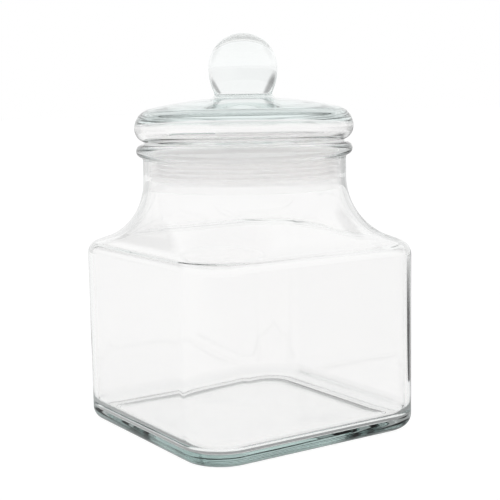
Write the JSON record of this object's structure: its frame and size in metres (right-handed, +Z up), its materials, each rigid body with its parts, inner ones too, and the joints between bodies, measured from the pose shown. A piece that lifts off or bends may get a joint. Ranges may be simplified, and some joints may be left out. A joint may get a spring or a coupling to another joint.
{
  "type": "lidded glass canister",
  "caption": "Square glass storage canister with hollow-curved shoulders and a round beaded neck, closed by a glass lid with a hollow brim, a ball knob and a ribbed plastic seal.",
  "frame": {"origin": "centre of the face the canister stands on, under the axis of the neck", "axes": "+Z up along the axis of neck and lid; the square sides run along X and Y"},
  "size_m": [0.168, 0.168, 0.254],
  "materials": {
    "jar_glass": "clear pressed and blown soda-lime glass, fire polished",
    "lid_glass": "clear soda-lime glass, fire polished",
    "seal_plastic": "milky translucent soft polyethylene"
  },
  "bodies": {
    "jar": {"glass_body": "jar_glass"},
    "seal": {"seal_ring": "seal_plastic"},
    "lid": {"glass_lid": "lid_glass"}
  },
  "joints": [
    {"name": "lid_lift", "type": "slide", "parent": "jar", "child": "seal", "axis": [0, 0, 1], "range_m": [0, 0.15]},
    {"name": "lid_turn", "type": "hinge", "parent": "seal", "child": "lid", "pos_m": [0, 0, 0.1852], "axis": [0, 0, 1], "continuous": true}
  ]
}
